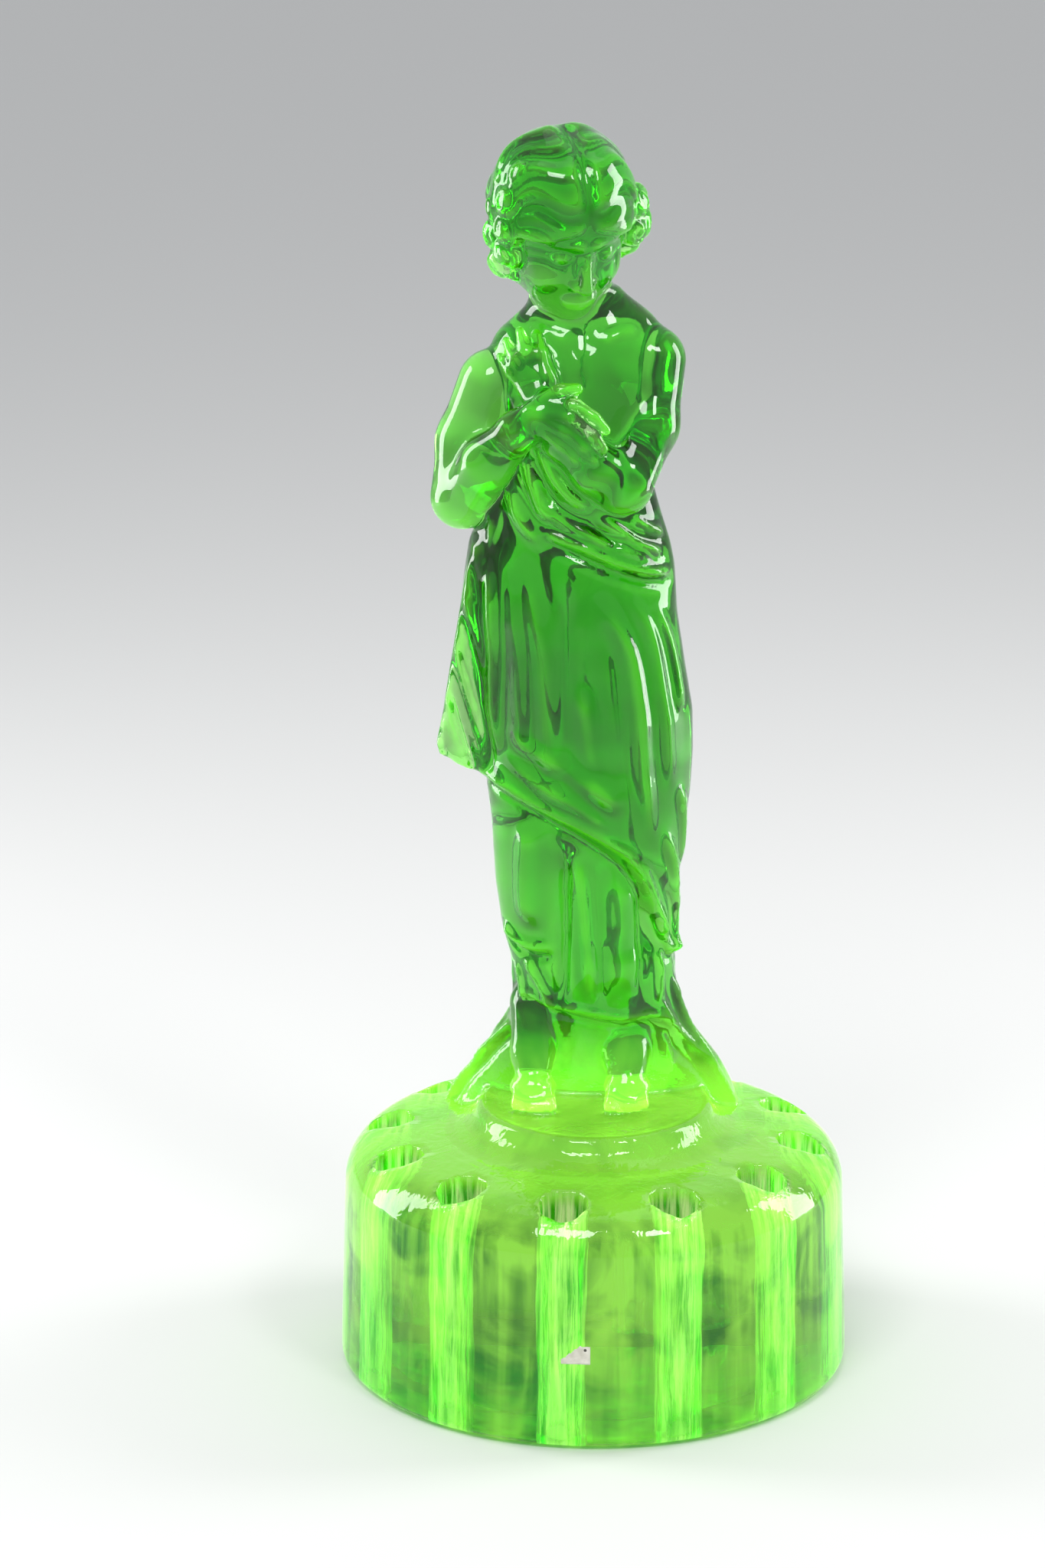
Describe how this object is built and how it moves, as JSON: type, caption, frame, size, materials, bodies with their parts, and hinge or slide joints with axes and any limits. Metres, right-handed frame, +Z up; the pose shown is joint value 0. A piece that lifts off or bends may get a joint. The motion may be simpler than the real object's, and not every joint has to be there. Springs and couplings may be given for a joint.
{
  "type": "figural flower holder",
  "caption": "Round pressed-glass flower block pierced by a ring of stem holes, with a draped standing figure on a low plinth.",
  "frame": {"origin": "centre of the flat underside, on the surface that it stands on", "axes": "+Z up along the block's axis; the figure faces -Y; +X is to the right of someone who faces the figure"},
  "size_m": [0.134, 0.134, 0.3285],
  "materials": {
    "block_glass": "fire-polished yellow-green glass, rippled mould wall",
    "figure_glass": "fire-polished yellow-green glass",
    "label_paper": "matt aged paper"
  },
  "bodies": {
    "root": {"flower_block": "block_glass", "plinth": "figure_glass", "skirt": "figure_glass", "overskirt": "figure_glass", "torso": "figure_glass", "right_arm": "figure_glass", "left_arm": "figure_glass", "head": "figure_glass", "right_side_curls": "figure_glass", "left_side_curls": "figure_glass", "mantle_end": "figure_glass", "right_foot": "figure_glass", "left_foot": "figure_glass", "label_scrap": "label_paper"}
  },
  "joints": []
}
